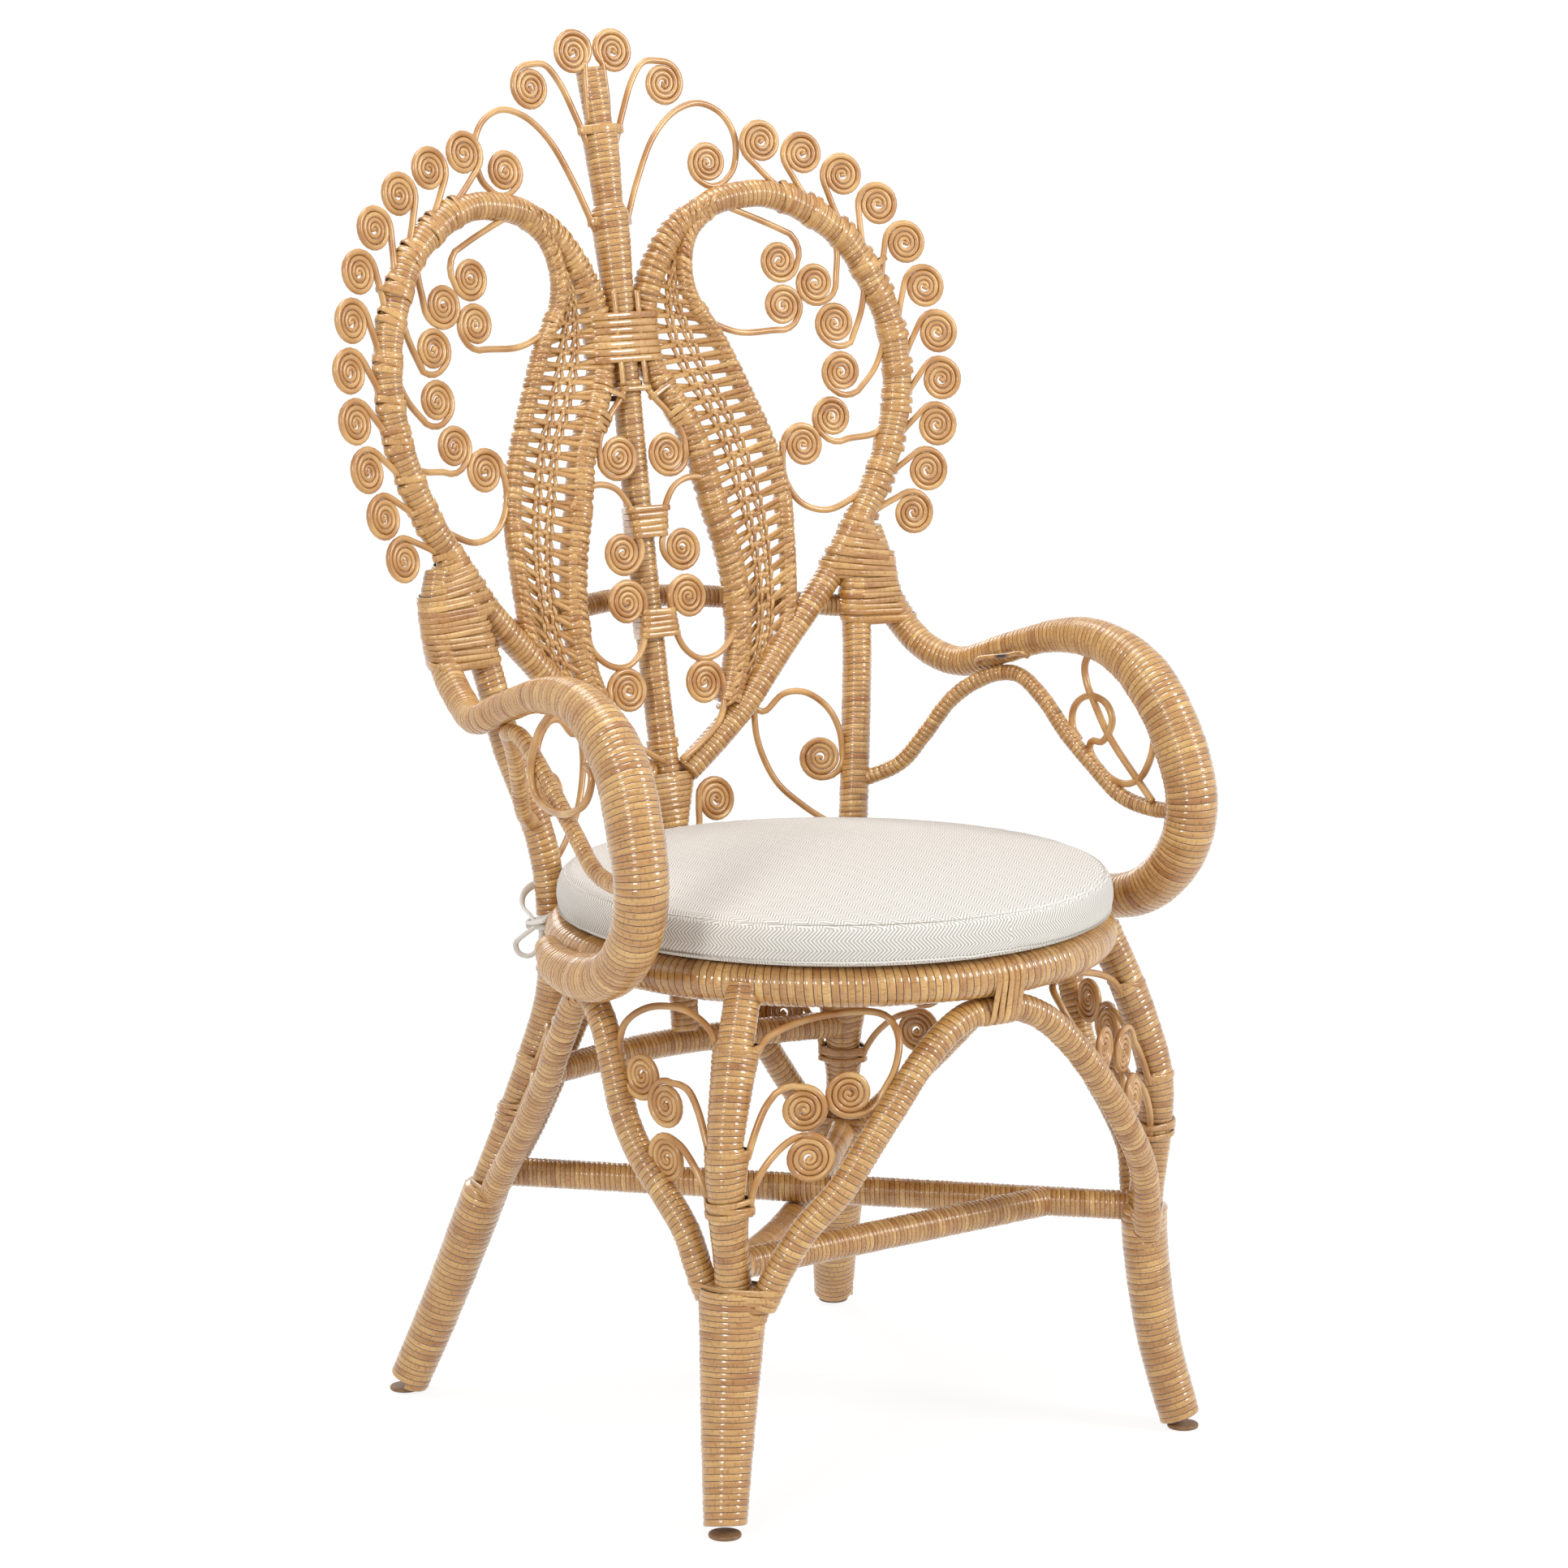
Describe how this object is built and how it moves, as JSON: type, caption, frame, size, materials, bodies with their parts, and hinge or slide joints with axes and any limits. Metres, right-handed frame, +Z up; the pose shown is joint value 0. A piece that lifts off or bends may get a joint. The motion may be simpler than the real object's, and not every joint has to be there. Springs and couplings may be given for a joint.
{
  "type": "peacock chair",
  "caption": "Peacock armchair of rattan poles bound with split cane, a tall curved fan back with coiled canes, a round seat and a loose round cushion.",
  "frame": {"origin": "middle of the chair's footprint box on the floor, under the seat", "axes": "+Z up, the sitter faces -Y, +X is the sitter's left; the height is the longest extent"},
  "size_m": [0.7136, 0.6616, 1.2702],
  "materials": {
    "bound_cane": "split cane peel wound over rattan poles, honey coloured, clear lacquer",
    "round_cane": "peeled round rattan core, clear lacquer",
    "linen": "off-white herringbone cotton and linen cloth, matt",
    "cord": "off-white cotton cord, matt",
    "foot_pad": "dark plastic glide"
  },
  "bodies": {
    "root": {"arch_front": "bound_cane", "arch_rear": "bound_cane", "arch_side_left": "bound_cane", "arch_side_right": "bound_cane", "arm_brace_left": "bound_cane", "arm_brace_right": "bound_cane", "arm_left": "bound_cane", "arm_right": "bound_cane", "arm_scroll_left": "round_cane", "arm_scroll_right": "round_cane", "back_rail": "bound_cane", "base_curl_left": "round_cane", "base_curl_right": "round_cane", "centre_post": "bound_cane", "centre_scrolls_left": "round_cane", "centre_scrolls_right": "round_cane", "centre_tie": "bound_cane", "crest_lower_curl_left": "round_cane", "crest_lower_curl_right": "round_cane", "crest_middle_curl_left": "round_cane", "crest_middle_curl_right": "round_cane", "crest_top_curls": "round_cane", "cushion_tie_left": "cord", "cushion_tie_right": "cord", "foot_pad_front_left": "foot_pad", "foot_pad_front_right": "foot_pad", "foot_pad_rear_left": "foot_pad", "foot_pad_rear_right": "foot_pad", "heart_scroll_left": "round_cane", "heart_scroll_right": "round_cane", "inner_curls_left": "round_cane", "inner_curls_right": "round_cane", "knot_curl_left": "round_cane", "knot_curl_right": "round_cane", "leg_front_left": "bound_cane", "leg_front_right": "bound_cane", "leg_rear_left": "bound_cane", "leg_rear_right": "bound_cane", "leg_scrolls_front_left": "round_cane", "leg_scrolls_front_right": "round_cane", "leg_scrolls_rear_left": "round_cane", "leg_scrolls_rear_right": "round_cane", "loop_pole_left": "bound_cane", "loop_pole_right": "bound_cane", "outer_curls_left": "round_cane", "outer_curls_right": "round_cane", "panel_edge_left": "bound_cane", "panel_edge_right": "bound_cane", "rear_post_left": "bound_cane", "rear_post_right": "bound_cane", "rear_rail": "bound_cane", "seat_cushion": "linen", "seat_hoop": "bound_cane", "seat_panel": "bound_cane", "stretcher_front": "bound_cane", "stretcher_lower": "bound_cane", "stretcher_upper": "bound_cane", "woven_panel_left": "bound_cane", "woven_panel_right": "bound_cane"}
  },
  "joints": []
}
